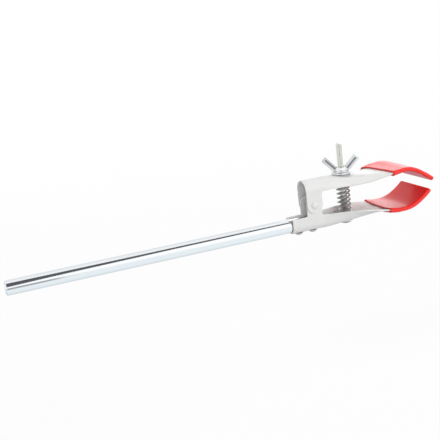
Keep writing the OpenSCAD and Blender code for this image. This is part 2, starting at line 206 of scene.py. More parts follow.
# plating of the wing nut and washer, with painted shade that darkens the recess of each wing, where it is
# also rougher
nutLook = {"light": (0.90, 0.90, 0.91, 1), "shade": (0.80, 0.81, 0.82, 1), "rough": 0.10,
           "stretch": (1, 1, 1), "scratch": 0.000006, "paintedShade": (0.32, 0.32, 0.325, 1), "dullRough": 0.2,
           "floor": 0.00085, "face": 0.00115, "squareFrom": 0.55, "squareTo": 0.85}

# zinc of the clamp screw, with painted shade that darkens its head grey
screwLook = {"light": (0.91, 0.91, 0.855, 1), "shade": (0.81, 0.81, 0.755, 1), "rough": 0.20,
             "stretch": (1, 1, 0.1), "scratch": 0.000006, "paintedShade": (0.32, 0.32, 0.32, 1), "dullRough": 0.1,
             "headShadeTop": -0.0034, "headShadeFade": 0.0006}


# a mask gives the places of painted shade, where the metal is darker and rougher
def metalFinish(name, look, mask=None):
    g = metalGrain
    f = Finish(name, {"Metallic": 1.0})
    streak, cloud = f.grain(*g["streak"], look["stretch"]), f.grain(*g["cloud"])
    colour = f.mixed(cloud * g["cloudTone"] + streak * g["streakTone"], look["light"], look["shade"])
    rough = look["rough"] + streak * g["streakRough"] + cloud * g["cloudRough"]
    # painted shade: darker colour and higher roughness where the mask is set
    if mask:
        paintedShade = mask(f)
        colour = f.mixed(paintedShade, colour, look["paintedShade"])
        rough = rough + paintedShade * look["dullRough"]
    f.feed(f.shader, {"Base Color": colour, "Roughness": rough,
                      "Normal": f.bumped(streak, look["scratch"], g["bumpStrength"])})
    return f.material


# painted shade in the wing recesses: near the middle plane of the wings, and facing square to it
def wingRecessShade(f):
    turn = math.radians(shared["wingTurn"])
    side = (math.sin(turn), -math.cos(turn), 0)
    place, facing = (f.node("ShaderNodeVectorMath", {"operation": "DOT_PRODUCT"}, {
        0: f.where(kind), 1: side}, "Value") for kind in ("Object", "Normal"))
    offset = place - shared["screwX"] * mm * side[0]
    deep = 1 - f.band(abs(offset), nutLook["floor"], nutLook["face"])
    return deep * f.band(abs(facing), nutLook["squareFrom"], nutLook["squareTo"])


# painted shade: everything below the top of the screw head darkened grey
def screwHeadShade(f):
    top = screwLook["headShadeTop"]
    return 1 - f.band(f.part(f.where(), "Z"), top, top + screwLook["headShadeFade"])


finishes = {
    "armEnamel": enamelFinish(),
    "redVinyl": vinylFinish(),
    "rodPlate": metalFinish("rod plating", rodLook),
    "nutPlate": metalFinish("nut plating", nutLook, wingRecessShade),
    "screwZinc": metalFinish("screw zinc", screwLook, screwHeadShade),
    "springWire": metalFinish("spring wire", springLook),
    "rivetSteel": metalFinish("rivet steel", rivetLook)}
print("finishes made")


# one piece from points and faces, for one CAD node
def piece(name, points, faces, finish, body, node, normals=None):
    mesh = bpy.data.meshes.new(name)
    mesh.from_pydata([tuple(p) for p in points], [], faces)
    made = bmesh.new()
    made.from_mesh(mesh)
    bmesh.ops.recalc_face_normals(made, faces=made.faces)
    made.to_mesh(mesh)
    made.free()
    mesh.polygons.foreach_set("use_smooth", [True] * len(mesh.polygons))
    mesh.materials.append(finishes[finish])
    if normals is not None:
        mesh.normals_split_custom_set_from_vertices([tuple(n) for n in normals])
    thing = bpy.data.objects.new(name, mesh)
    bpy.context.scene.collection.objects.link(thing)
    if body:
        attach(thing, body)
    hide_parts(node)
    return thing


def limited(t):
    return min(max(t, 0), 1)


def eased(t):
    return t * t * (3 - 2 * t)


# corners given as x, y and radius, each turned into an arc
def rounded(corners, closed=False, arcSteps=6):
    points = []
    for i, (x, y, radius) in enumerate(corners):
        here = Vector((x, y))
        if radius == 0 or (not closed and i in (0, len(corners) - 1)):
            points.append((x, y))
            continue
        back = (Vector(corners[i - 1][:2]) - here).normalized()
        ahead = (Vector(corners[(i + 1) % len(corners)][:2]) - here).normalized()
        half = math.acos(max(-1, min(1, back.dot(ahead)))) / 2
        centre = here + (back + ahead).normalized() * (radius / math.sin(half))
        start = here + back * (radius / math.tan(half)) - centre
        finish = here + ahead * (radius / math.tan(half)) - centre
        turn = math.atan2(start.x * finish.y - start.y * finish.x, start.dot(finish))
        for k in range(arcSteps + 1):
            a = turn * k / arcSteps
            points.append((centre.x + start.x * math.cos(a) - start.y * math.sin(a),
                           centre.y + start.x * math.sin(a) + start.y * math.cos(a)))
    return points


# extra points, so that none is further from the next than the step
def spaced(points, step):
    out = []
    for a, b in zip(points, points[1:]):
        count = max(1, math.ceil(math.dist(a, b) / step))
        out += [(a[0] + (b[0] - a[0]) * k / count, a[1] + (b[1] - a[1]) * k / count) for k in range(count)]
    return out + [points[-1]]


def ringLoop(x, y, radius, steps):
    turns = [2 * math.pi * k / steps for k in range(steps)]
    return [(x + radius * math.cos(a), y + radius * math.sin(a)) for a in turns]


# faces between closed rows of point numbers
def rowFaces(rows):
    faces = []
    for low, high in zip(rows, rows[1:]):
        for k in range(len(low)):
            n = (k + 1) % len(low)
            faces.append([low[k], low[n], high[n], high[k]])
    return faces


def numberedRows(rings):
    size = len(rings[0])
    return [list(range(i * size, (i + 1) * size)) for i in range(len(rings))]


# skin over rings of points, with one face at each end
def skinned(rings):
    rows = numberedRows(rings)
    return [p for ring in rings for p in ring], rowFaces(rows) + [rows[0], rows[-1]]


# turned shape: a profile of radius and height, set by a function into the frame
def turnedShape(profile, steps, setPoint, closed=False):
    points, faces, rows = [], [], []
    for radius, height in profile:
        if radius < tiny:
            rows.append([len(points)] * steps)
            points.append(setPoint(0, 0, height))
            continue
        rows.append(list(range(len(points), len(points) + steps)))
        points += [setPoint(a, b, height) for a, b in ringLoop(0, 0, radius, steps)]
    for face in rowFaces(rows + rows[:1] if closed else rows):
        face = [v for i, v in enumerate(face) if v not in face[:i]]
        if len(face) > 2:
            faces.append(face)
    return points, faces


def merged(*shapes):
    points, faces = [], []
    for somePoints, someFaces in shapes:
        faces += [[v + len(points) for v in face] for face in someFaces]
        points += somePoints
    return points, faces


# support rod, with rings across its end face; sizes here and below are in millimetres
rodSize = {"radius": 5, "free": 200, "chamfer": 1, "inside": 22.9, "neck": 4.8, "soften": 0.25,
           "shoulderSoften": 0.08, "endRings": (0, 0.3, 0.6, 0.85), "longestRow": 30, "sides": 128}


def buildRod():
    s = rodSize
    radius, end, face = s["radius"], -s["free"], s["radius"] - s["chamfer"]
    corners = [(share * face, end, 0) for share in s["endRings"]]
    corners += [(face, end, s["soften"]), (radius, s["chamfer"] + end, s["soften"])]
    corners += [(radius, 0, s["shoulderSoften"]), (s["neck"], 0, 0)]
    corners += [(s["neck"], s["inside"], 0), (0, s["inside"], 0)]
    profile = spaced(rounded(corners), s["longestRow"])
    points, faces = turnedShape(profile, s["sides"], lambda a, b, h: Vector((h, a, b)) * mm)
    piece("supportRod", points, faces, "rodPlate", "clamp_base", "support_rod")


# sheet of both arms: a channel that flattens into a strip and ends in a jaw
sheetSize = {"thickness": 1.25, "edge": 0.3, "channel": 24, "neckGap": 0.4, "rim": 5.2, "pivotX": 18,
             "pivotZ": 13, "hoodCentre": 23.28, "flatten": 54, "strip": 10, "jaw": 18, "tipCorner": 2.0}

# how finely the flat pattern is cut and filled
sheetMesh = {"edgeStep": 0.5, "edgeStart": 1.6, "edgeStop": 2.2, "pivotArc": 28, "hole": 40, "gridStart": 0.5,
             "gridStep": 1.0, "wallReach": 26, "ring": 48, "ringClear": 0.4, "rimClear": 0.35, "rimSteps": 4,
             "weld": 1e-5, "probe": 0.02, "halvings": 40, "leastLean": 0.5}

# path of each sheet's middle: first x, z and heading, then length and turn of each stretch to the tip
lowerPath = {"start": (0, -5.445, 0), "side": 1, "radius": 5.445, "wall": 5.2,
             "stretches": [(24, 0), (8, 7.5), (26, 0), (14, -6), (10.5, -3), (13, 31), (12, 12)]}
upperPath = {"start": (0, 30.175, 0), "side": -1, "radius": 6.895, "wall": 1.4,
             "stretches": [(24, 0), (10, -5), (25.5, 0), (14, 6.5), (10, 6.5), (12, -36), (15, -12)]}


# maps the flat pattern, as run along the arm and distance from its middle, to the bent sheet
class Arm:
    def __init__(self, path, seat=None):
        self.side, self.radius, self.stretches = path["side"], path["radius"], path["stretches"]
        self.seat = seat
        self.quarter = self.radius * math.pi / 2
        self.rear = self.quarter + path["wall"]
        self.starts = [(0, path["start"])]
        for length, turn in self.stretches:
            run, place = self.starts[-1]
            self.starts.append((run + length, self.arcEnd(place, length, turn)))
        self.length = self.starts[-1][0]

    def arcEnd(self, place, length, turn):
        x, z, heading = place
        a, b = math.radians(heading), math.radians(heading + turn)
        if turn == 0:
            return (x + length * math.cos(a), z + length * math.sin(a), heading)
        radius = length / math.radians(turn)
        x += radius * (math.sin(b) - math.sin(a))
        z -= radius * (math.cos(b) - math.cos(a))
        return (x, z, heading + turn)

    def place(self, run):
        if run >= self.length:
            return self.arcEnd(self.starts[-1][1], run - self.length, 0)
        for (begin, place), (length, turn) in zip(self.starts, self.stretches):
            if run <= begin + length:
                return self.arcEnd(place, run - begin, turn * (run - begin) / length)

    # share of the way from channel to flat strip: even, and eased
    def flatness(self, x):
        even = limited((x - sheetSize["channel"]) / sheetSize["flatten"])
        return even, (even + eased(even)) / 2

    def spread(self, run):
        share = self.flatness(self.place(run)[0])[1]
        return self.rear + (sheetSize["jaw"] - self.rear) * share

    def point(self, run, along, out):
        x, z, heading = self.place(run)
        even, share = self.flatness(x)
        flat, bend, far = sheetSize["strip"] * even, math.pi / 2 * (1 - share), abs(along)
        angle = 0 if far <= flat else min(bend, (far - flat) / self.radius)
        rest = max(0, far - flat - self.radius * bend)
        across = min(far, flat) + self.radius * math.sin(angle) + rest * math.cos(angle)
        up = self.radius * (1 - math.cos(angle)) + rest * math.sin(angle) + out * math.cos(angle)
        across = math.copysign(across - out * math.sin(angle), along)
        a = math.radians(heading)
        p = Vector((x - self.side * up * math.sin(a), self.side * across, z + self.side * up * math.cos(a)))
        if self.seat:
            top, bottom = self.seat["top"], self.seat["bottom"]
            away = math.hypot(p.x - shared["screwX"], p.y)
            level = (top + bottom) / 2 + out / sheetSize["thickness"] * (top - bottom)
            p.z += (level - p.z) * eased(limited((self.seat["rim"] - away) / self.seat["soften"]))
        return p * mm

    def slopes(self, run, along, out):
        e = sheetMesh["probe"]
        return (self.point(run + e, along, out) - self.point(run - e, along, out),
                self.point(run, along + e, out) - self.point(run, along - e, out))

    # on the side where out grows
    def normal(self, run, along, out):
        a, b = self.slopes(run, along, out)
        n = a.cross(b).normalized()
        half = sheetSize["thickness"] / 2
        return n if n.dot(self.point(run, along, half) - self.point(run, along, -half)) > 0 else -n

    def runAt(self, x):
        low, high = 0, self.length
        for _ in range(sheetMesh["halvings"]):
            middle = (low + high) / 2
            low, high = (middle, high) if self.place(middle)[0] < x else (low, middle)
        return low


# flat seat in the lower arm, between the spring's foot and the screw's head
screwBox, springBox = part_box("clamp_screw"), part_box("spring")
seat = {"top": springBox[0].z / mm, "bottom": screwBox[0].z / mm + shared["screwHead"],
        "rim": 6.2, "soften": 1.0}
lowerArm, upperArm = Arm(lowerPath, seat), Arm(upperPath)


def loopInset(loop, depth):
    out, count = [], len(loop)
    for i in range(count):
        a, b, c = Vector(loop[i - 1]), Vector(loop[i]), Vector(loop[(i + 1) % count])
        first, second = (b - a).normalized(), (c - b).normalized()
        left = Vector((-first.y - second.y, first.x + second.x))
        left.normalize()
        lean = max(sheetMesh["leastLean"], left.dot(Vector((-first.y, first.x))))
        out.append((b.x + left.x * depth / lean, b.y + left.y * depth / lean))
    return out


def inside(points, loop):
    x, y = points[:, 0], points[:, 1]
    result = np.zeros(len(points), bool)
    ring = np.array(loop)
    for (x0, y0), (x1, y1) in zip(ring, np.roll(ring, -1, axis=0)):
        if y0 != y1:
            result ^= ((y0 > y) != (y1 > y)) & (x < (x1 - x0) * (y - y0) / (y1 - y0) + x0)
    return result


# inside the outline, which is the first loop, and outside every hole
def onSheet(points, loops):
    keep = inside(points, loops[0])
    for hole in loops[1:]:
        keep &= ~inside(points, hole)
    return keep


# points all over the flat pattern, in rings round the screw where radii are given
def patternGrid(arm, radii):
    m = sheetMesh
    grid = []
    for run in np.arange(m["gridStart"], arm.length, m["gridStep"]):
        reach = arm.spread(run) if run > sheetSize["channel"] else arm.quarter + m["wallReach"]
        count = math.ceil(2 * reach / m["gridStep"])
        grid += [(run, reach * (2 * k / count - 1)) for k in range(count + 1)]
    if radii:
        centre = arm.runAt(shared["screwX"])
        grid = [p for p in grid if math.hypot(p[0] - centre, p[1]) > radii[-1] + m["ringClear"]]
        turns = np.linspace(0, 2 * math.pi, m["ring"], False)
        grid += [(centre + r * math.cos(a), r * math.sin(a)) for r in radii for a in turns]
    return np.array(grid)


# triangles over the flat pattern, and the place of each point of the loops among their corners
def filledPattern(arm, loops, radii):
    flat, edges = [], []
    for loop in loops:
        first, count = len(flat), len(loop)
        flat += loop
        edges += [(first + k, first + (k + 1) % count) for k in range(count)]
    tree = kdtree.KDTree(len(flat))
    for k, (x, y) in enumerate(flat):
        tree.insert((x, y, 0), k)
    tree.balance()
    grid = patternGrid(arm, radii)
    keep = onSheet(grid, loops)
    clear = sheetMesh["rimClear"]
    grid = [tuple(p) for p, ok in zip(grid, keep) if ok and tree.find((p[0], p[1], 0))[2] > clear]
    corners, _, tris, origin, _, _ = delaunay_2d_cdt(
        [Vector(p) for p in flat + grid], edges, [], 1, sheetMesh["weld"])
    centres = np.array([sum((np.array(corners[v]) for v in t), np.zeros(2)) / len(t) for t in tris])
    tris = [list(t) for t, ok in zip(tris, onSheet(centres, loops)) if ok]
    where = {source: k for k, sources in enumerate(origin) for source in sources}
    return corners, tris, where


# sheet cut to an outline with holes, then bent by the arm's map and given rounded edges
def bentSheet(arm, outline, holes, radii):
    half, edge, steps = sheetSize["thickness"] / 2, sheetSize["edge"], sheetMesh["rimSteps"]
    loops = [outline] + [hole[::-1] for hole in holes]
    corners, tris, where = filledPattern(arm, [loopInset(loop, edge) for loop in loops], radii)
    points, normals, count = [], [], len(corners)
    for side in (1, -1):
        points += [arm.point(v.x, v.y, side * half) for v in corners]
        normals += [arm.normal(v.x, v.y, side * half) * side for v in corners]
    faces = tris + [[v + count for v in reversed(t)] for t in tris]
    rims = []
    for k in range(steps + 1):
        sine, cosine = math.sin(math.pi / 2 * k / steps), math.cos(math.pi / 2 * k / steps)
        rims.append((edge * (1 - sine), half - edge * (1 - cosine), sine, cosine))
    rims += [(inset, -out, sine, -cosine) for inset, out, sine, cosine in reversed(rims)]
    first = 0
    for loop in loops:
        size, pulled = len(loop), loopInset(loop, 1)
        rows = [[where[first + i] for i in range(size)]]
        for inset, out, sine, cosine in rims[1:-1]:
            rows.append(list(range(len(points), len(points) + size)))
            row = loopInset(loop, inset) if inset > tiny else loop
            for (run, along), here, back in zip(row, loop, pulled):
                points.append(arm.point(run, along, out))
                a, b = arm.slopes(run, along, out)
                outward = a.normalized() * (here[0] - back[0]) + b.normalized() * (here[1] - back[1])
                n = arm.normal(run, along, out) * cosine + outward.normalized() * sine
                normals.append(n.normalized())
        rows.append([v + count for v in rows[0]])
        faces += rowFaces(rows)
        first += size
    return points, faces, normals


# half circle of the outline round the pivot
def pivotArc(radius, high):
    turns = np.linspace(0, math.pi, sheetMesh["pivotArc"])
    return [(sheetSize["pivotX"] - radius * math.cos(t), high + radius * math.sin(t), 0) for t in turns]


def pivotHoles(radius, high):
    return [ringLoop(sheetSize["pivotX"], y, radius, sheetMesh["hole"]) for y in (high, -high)]


# edge from the channel to the middle of the tip
def frontEdge(arm):
    s, m = sheetSize, sheetMesh
    runs = np.arange(s["channel"] + m["edgeStart"], arm.length - m["edgeStop"], m["edgeStep"])
    edge = [(run, arm.spread(run), 0) for run in runs]
    return edge + [(arm.length, s["jaw"], s["tipCorner"]), (arm.length, 0, 0)]


def bothSides(half):
    right = spaced(half, sheetMesh["edgeStep"])
    return [(x, -y) for x, y in right[:-1]] + right[:0:-1]


# rings round the screw as first radius, end and step
lowerCut = {"earRadius": 5.9, "rearCorner": 0.8, "earFillet": 0.8, "screwHole": 2.55,
            "rings": (3.2, 7.3, 0.3)}


def buildLowerArm():
    a, s, c = lowerArm, sheetSize, lowerCut
    rim, ear, high = a.quarter + s["rim"], c["earRadius"], a.quarter + s["pivotZ"]
    half = [(s["neckGap"], 0, 0), (s["neckGap"], rim, c["rearCorner"])]
    half += [(s["pivotX"] - ear, rim, c["earFillet"])] + pivotArc(ear, high)
    half += [(s["pivotX"] + ear, rim, c["earFillet"])] + frontEdge(a)
    holes = pivotHoles(pivotRivetSize["shank"], high)
    holes += [ringLoop(x, 0, rodRivetSize["shank"], sheetMesh["hole"]) for x in rodRivetSize["places"]]
    holes += [ringLoop(a.runAt(shared["screwX"]), 0, c["screwHole"], sheetMesh["hole"])]
    radii = list(np.arange(*c["rings"]))
    points, faces, normals = bentSheet(a, bothSides(rounded(half)), holes, radii)
    piece("lowerArm", points, faces, "armEnamel", "clamp_base", "lower_jaw", normals)


upperCut = {"lobeRadius": 6, "frontFillet": 1.0, "pivotHole": 2.05, "slotRadius": 2.9, "slotAhead": 4.1,
            "slotBehind": 0.7, "slotPoints": 20}


def buildUpperArm():
    a, s, c = upperArm, sheetSize, upperCut
    lobe, high = c["lobeRadius"], a.quarter + s["hoodCentre"] - s["pivotZ"]
    half = [(s["pivotX"] - lobe, 0, 0)] + pivotArc(lobe, high)
    half += [(s["pivotX"] + lobe, a.rear, c["frontFillet"])] + frontEdge(a)
    run, wide = a.runAt(shared["screwX"]), c["slotRadius"]
    turns = np.linspace(-math.pi / 2, math.pi / 2, c["slotPoints"])
    slot = [(run + c["slotAhead"] + wide * math.cos(t), wide * math.sin(t)) for t in turns]
    slot += [(run - c["slotBehind"] - wide * math.cos(t), -wide * math.sin(t)) for t in turns]
    holes = pivotHoles(c["pivotHole"], high) + [slot]
    points, faces, normals = bentSheet(a, bothSides(rounded(half)), holes, [])
    piece("upperArm", points, faces, "armEnamel", "upper_arm", "upper_jaw", normals)


# soft sleeves over the jaws: outer and inner skins joined by a rounded lip
sleeveSize = {"thickness": 0.85, "gap": 0.04, "mouthGap": 0.35, "corner": 1.1, "points": 26, "caps": 8,
              "rows": 70, "rowEase": 1.35, "lipSteps": 5, "tipRound": 1.3, "tipThin": 0.8, "tipLeast": 0.05,
              "wave": 0.10, "waveScale": 90, "rippleScale": 260, "ripple": 0.5, "thinnest": 0.1}

# where each sleeve's mouth is along its arm, the length over which it narrows, and how far it is askew
lowerSleeve = {"mouth": 72, "narrowing": 10.5, "skew": 0}
upperSleeve = {"mouth": 73.5, "narrowing": 10, "skew": 2.6}


def sleeveRing(arm, run, half, spread, skew, wave):
    s = sleeveSize
    count, turns = s["points"], np.linspace(math.pi / 2, -math.pi / 2, s["caps"] + 2)[1:-1]
    loop = [(spread * (k / count), half) for k in range(-count, count + 1)]
    loop += [(spread + half * math.cos(t), half * math.sin(t)) for t in turns]
    loop += [(-along, -out) for along, out in loop]
    ring = []
    for along, out in loop:
        shifted = run - skew * arm.side * along / sheetSize["jaw"]
        p = arm.point(shifted, along, out)
        if wave:
            n = noise.noise(p * s["waveScale"]) + s["ripple"] * noise.noise(p * s["rippleScale"])
            p = arm.point(shifted, along, out * (1 + wave * n / max(abs(half), s["thinnest"])))
        ring.append(p)
    return ring


def buildSleeve(name, arm, sleeve, body, node):
    s, mouth = sleeveSize, sleeve["mouth"]
    inner, thick = sheetSize["thickness"] / 2 + s["gap"], s["thickness"]
    innerEnd = arm.length + s["gap"]
    outerEnd = innerEnd + thick

    def row(run, end, base, tipRound=0, wave=0, lip=0):
        opened = limited(1 - (run - mouth) / sleeve["narrowing"])
        half = base + s["mouthGap"] * opened
        near = max(0, s["corner"] - (end - run))
        spread = arm.spread(min(run, arm.length)) + s["gap"] - s["corner"]
        spread += math.sqrt(max(s["corner"] ** 2 - near ** 2, 0))
        tip = max(0, tipRound - (end - run)) / tipRound if tipRound else 0
        half *= math.sqrt(max(1 - s["tipThin"] * tip * tip, s["tipLeast"]))
        wave *= (1 - opened) * (1 - tip)
        return sleeveRing(arm, run + lip, half, spread, sleeve["skew"] * opened, wave)

    shares = [1 - (1 - k / s["rows"]) ** s["rowEase"] for k in range(s["rows"] + 1)]
    outer = [row(mouth + (outerEnd - mouth) * t, outerEnd, inner + thick, s["tipRound"], s["wave"])
             for t in shares]
    hidden = [row(mouth + (innerEnd - mouth) * t, innerEnd, inner) for t in shares]
    lips = []
    for k in range(1, s["lipSteps"]):
        a = math.pi * k / s["lipSteps"]
        lips.append(row(mouth, outerEnd, inner + thick * (1 + math.cos(a)) / 2, lip=-thick / 2 * math.sin(a)))
    rings = outer[::-1] + lips + hidden
    rows = numberedRows(rings)
    faces = rowFaces(rows)
    count, wide = len(rows[0]), 2 * s["points"]
    low = count // 2 + wide
    for end in (rows[0], rows[-1]):
        faces += [[end[j], end[j + 1], end[low - j - 1], end[low - j]] for j in range(wide)]
        faces.append(end[wide:count // 2 + 1])
        faces.append(end[low:] + end[:1])
    points = [p for ring in rings for p in ring]
    piece(name, points, faces, "redVinyl", body, node)


def dome(radius, height, steps=9):
    ball = (radius * radius + height * height) / (2 * height)
    widest = math.asin(radius / ball)
    return [(ball * math.sin(widest * k / steps), height - ball + ball * math.cos(widest * k / steps))
            for k in range(steps, -1, -1)]


# profile of a head that starts from a radius, with a straight foot under its dome
def domedHead(start, radius, height, foot, soften):
    rim = rounded([(start, 0, 0), (radius, 0, soften), (radius, foot, 0)])
    return rim + [(x, foot + h * (height - foot) / height) for x, h in dome(radius, height)][1:]


# pivot rivet, made as two halves that meet in the middle
pivotRivetSize = {"reach": 7.62, "shank": 2.0, "head": 2.75, "height": 1.1, "foot": 0.25, "soften": 0.12,
                  "sides": 48}


def buildPivotRivet():
    r, x, z = pivotRivetSize, sheetSize["pivotX"], sheetSize["pivotZ"]
    profile = [(r["shank"], -r["reach"])]
    profile += domedHead(r["shank"], r["head"], r["height"], r["foot"], r["soften"])
    shapes = [turnedShape(profile, r["sides"], lambda a, b, h, side=side: Vector(
        (x + a, side * (r["reach"] + h), z + b)) * mm) for side in (-1, 1)]
    points, faces = merged(*shapes)
    piece("pivotRivet", points, faces, "armEnamel", "clamp_base", "pivot_rivet")


# rivets that hold the rod, under the channel
rodRivetSize = {"places": (6.5, 17.46), "shank": 1.75, "depth": 6.9, "head": 3.1, "height": 1.9, "tuck": 0.02,
                "rim": 0.1, "channel": 6.07, "sides": 48}


def buildRodRivets():
    r = rodRivetSize
    profile = [(0, -r["depth"]), (r["shank"], -r["depth"]), (r["shank"], -r["tuck"])]
    profile += [(r["head"] - r["rim"], -r["tuck"])] + dome(r["head"], r["height"])
    shapes = [turnedShape(profile, r["sides"], lambda a, b, h, x=x: Vector(
        (x + a, b, -r["channel"] - h)) * mm) for x in r["places"]]
    points, faces = merged(*shapes)
    piece("rodRivets", points, faces, "rivetSteel", "clamp_base", "rod_rivets")


# clamp screw with its thread
screwSize = {"radius": 2.5, "pitch": 0.8, "depth": 0.46, "threadFrom": 18.0, "threadLead": 0.4,
             "threadFade": 1.6, "grooveWidth": 0.875, "grooveFlat": 1.12, "chamfer": 0.6, "sides": 48,
             "perTurn": 8, "head": 4.75, "headFoot": 0.25, "headSoften": 0.1, "headSides": 64}


def buildScrew():
    s, x, foot, top = screwSize, shared["screwX"], seat["bottom"], screwBox[1].z / mm
    begin, sides = s["threadFrom"], s["sides"]
    count = math.ceil((top - begin) / s["pitch"] * s["perTurn"])
    heights = [foot, begin - s["threadLead"]] + [begin + (top - begin) * k / count for k in range(count + 1)]
    rings = []
    for z in heights:
        cut = s["radius"] - max(0, s["chamfer"] - (top - z))
        fade = limited((z - begin) / s["threadFade"])
        ring = []
        for k in range(sides):
            a = 2 * math.pi * k / sides
            phase = (z / s["pitch"] - k / sides) % 1
            groove = max(0, 1 - abs(phase - 0.5) * 2 / s["grooveWidth"])
            radius = min(cut, s["radius"] - s["depth"] * fade * min(groove * s["grooveFlat"], 1))
            ring.append(Vector((x + radius * math.cos(a), radius * math.sin(a), z)) * mm)
        rings.append(ring)
    profile = domedHead(0, s["head"], shared["screwHead"], s["headFoot"], s["headSoften"])
    head = turnedShape(profile, s["headSides"], lambda a, b, h: Vector((x + a, b, foot - h)) * mm)
    points, faces = merged(skinned(rings), head)
    piece("clampScrew", points, faces, "screwZinc", "clamp_base", "clamp_screw")


# spring of round wire, stretched between the seat and the washer
springSize = {"radius": 4.375, "wire": 0.625, "turns": 9, "steps": 44, "sides": 12}


def buildSpring():
    s, x, foot, top = springSize, shared["screwX"], seat["top"], springBox[1].z / mm
    climb = top - foot - 2 * s["wire"]
    rings = []
    for i in range(s["turns"] * s["steps"] + 1):
        turn = i / s["steps"]
        a, lift = 2 * math.pi * turn, foot + s["wire"] + climb * turn / s["turns"]
        section = ringLoop(s["radius"], lift, s["wire"], s["sides"])
        rings.append([Vector((x + radius * math.cos(a), radius * math.sin(a), z)) * mm
                      for radius, z in section])
    points, faces = skinned(rings)
    coil = piece("pressureSpring", points, faces, "springWire", None, "spring")
    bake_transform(coil)


washerSize = {"hole": 2.75, "radius": 7.25, "thickness": 1.0, "soften": 0.22, "arcSteps": 4, "sides": 96}


def buildWasher():
    w, x, bottom = washerSize, shared["screwX"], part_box("washer")[0].z / mm
    corners = [(w["hole"], 0, w["soften"]), (w["radius"], 0, w["soften"]),
               (w["radius"], w["thickness"], w["soften"]), (w["hole"], w["thickness"], w["soften"])]
    points, faces = turnedShape(rounded(corners, True, w["arcSteps"]), w["sides"],
                                lambda a, b, h: Vector((x + a, b, bottom + h)) * mm, True)
    piece("flatWasher", points, faces, "nutPlate", "washer_body", "washer")


# cast wing nut: hub corners as radius, height and rounding, layers from a wing's recess to its edge as
# inset and distance from its middle plane
wingSize = {
    "hubCorners": [(2.56, 0, 0.2), (5.8, 0, 0.3), (5.8, 1.0, 0.4), (4.9, 1.25, 0.5), (4.3, 3.8, 0.6),
                   (2.56, 3.8, 0.25)],
    "layers": [(1.9, 0.6), (1.8, 0.6), (1.55, 1.18), (1.35, 1.3), (0.3, 1.3), (0.08, 1.2), (0, 0.95)],
    "root": (3.2, 0, 1.2), "end": (10.6, 0, 9.0), "tip": 2.1, "width": 2.4, "corner": 1.3,
    "leastCorner": 0.15, "hubSteps": 5, "hubSides": 72, "voxel": 0.17, "smoothing": 5, "smoothShare": 0.5}


def buildWingNut():
    w = wingSize
    shift = Vector((shared["screwX"], 0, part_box("wing_nut")[0].z / mm))
    spin = Matrix.Rotation(math.radians(shared["wingTurn"]), 3, "Z")
    root = Vector(w["root"])
    along = Vector(w["end"]) - root
    length = along.length + w["tip"]
    along.normalize()
    across = Vector((-along.z, 0, along.x))

    def paddle(inset):
        wide, least = w["width"] - inset, w["leastCorner"]
        corner = max(w["corner"] - inset, least)
        return rounded([(inset, -wide, least), (length - inset, -wide, corner),
                        (length - inset, wide, corner), (inset, wide, least)], True)

    hub = rounded(w["hubCorners"], True, w["hubSteps"])
    shapes = [turnedShape(hub, w["hubSides"], lambda a, b, h: (shift + Vector((a, b, h))) * mm, True)]
    layers = w["layers"] + [(inset, -out) for inset, out in reversed(w["layers"])]
    for side in (0, math.pi):
        turn = spin @ Matrix.Rotation(side, 3, "Z")
        shapes.append(skinned([[(shift + turn @ (root + along * a + across * b + Vector((0, out, 0)))) * mm
                                for a, b in paddle(inset)] for inset, out in layers]))
    points, faces = merged(*shapes)
    nut = piece("wingNut", points, faces, "nutPlate", None, "wing_nut")
    cast = nut.modifiers.new("cast", "REMESH")
    cast.mode, cast.voxel_size, cast.use_smooth_shade = "VOXEL", w["voxel"] * mm, True
    soften = nut.modifiers.new("soften", "SMOOTH")
    soften.factor, soften.iterations = w["smoothShare"], w["smoothing"]
    bpy.context.view_layer.update()
    result = bpy.data.meshes.new_from_object(nut.evaluated_get(bpy.context.evaluated_depsgraph_get()))
    nut.modifiers.clear()
    nut.data = result
    result.materials.clear()
    result.materials.append(finishes["nutPlate"])
    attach(nut, "nut_body")


buildRod()
print("rod made")
buildLowerArm()
buildUpperArm()
print("sheet arms made")
buildSleeve("lowerSleeve", lowerArm, lowerSleeve, "clamp_base", "lower_jaw_sleeve")
buildSleeve("upperSleeve", upperArm, upperSleeve, "upper_arm", "upper_jaw_sleeve")
print("sleeves made")
buildPivotRivet()
buildRodRivets()
buildScrew()
buildSpring()
buildWasher()
buildWingNut()
print("fittings made")

# floor, in metres: white to the camera, a little tinted in mirrors, and clear far out
floorLook = {"height": -0.09, "size": 2.0, "fixed": {"Roughness": 0.9, "Specular IOR Level": 0.0},
             "lit": (0.55, 0.55, 0.55, 1), "seen": (0.9, 0.9, 0.9, 1), "shadow": 0.08,
             "mirrorNear": (0.91, 0.98, 1.0, 1), "mirrorFar": (0.66, 0.71, 0.75, 1), "nearEnd": -0.06,
             "farStart": 0.10, "fadeFrom": 0.45, "fadeTo": 1.1}


